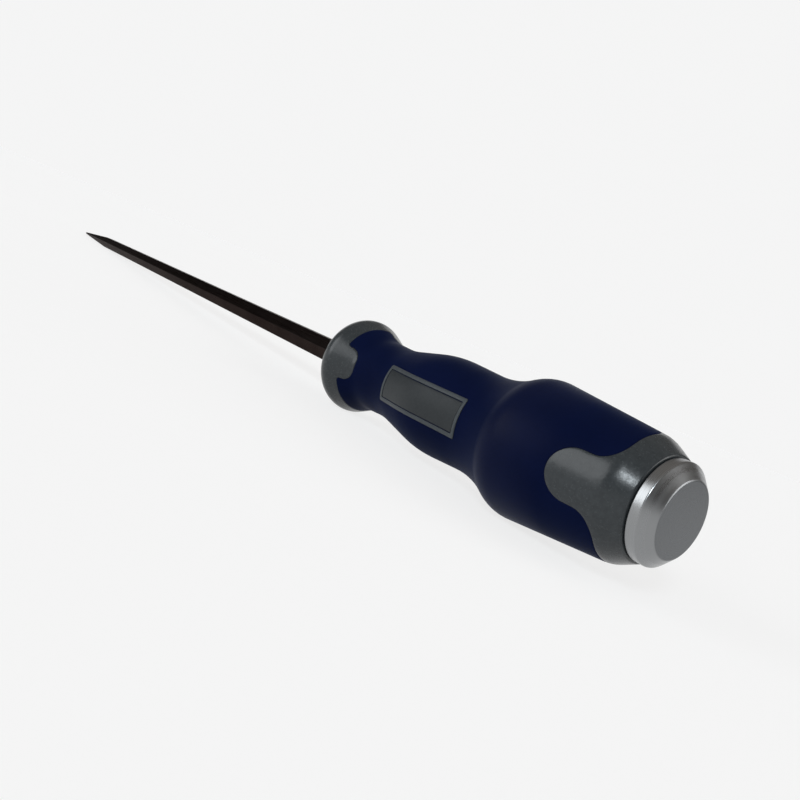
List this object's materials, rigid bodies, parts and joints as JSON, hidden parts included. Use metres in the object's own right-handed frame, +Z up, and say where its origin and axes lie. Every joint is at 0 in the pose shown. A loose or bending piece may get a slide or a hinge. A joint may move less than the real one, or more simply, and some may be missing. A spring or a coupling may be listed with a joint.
{
  "type": "through-tang screwdriver",
  "caption": "Slotted screwdriver with a hexagonal bar running through a waisted two-material handle to a chamfered steel strike cap.",
  "frame": {"origin": "centre of the strike cap's flat face", "axes": "+X along the tool and out of the strike face, the tip towards -X; +Z up as the tool lies by itself, with the tip's edge level and a flat of the bar facing down; the label faces -Y"},
  "size_m": [0.4095, 0.032, 0.032],
  "materials": {
    "blade_steel": "dark burnished hexagonal bar",
    "cap_steel": "satin turned",
    "core_plastic": "fine spark texture, half gloss",
    "grip_rubber": "soft touch, matte",
    "label_plastic": "satin",
    "inlay_plastic": "satin, bare"
  },
  "bodies": {
    "root": {"blade": "blade_steel", "strike_cap": "cap_steel", "handle_core": "core_plastic", "soft_grip": "grip_rubber", "label_plate": "label_plastic", "label_inlay": "inlay_plastic"}
  },
  "joints": []
}
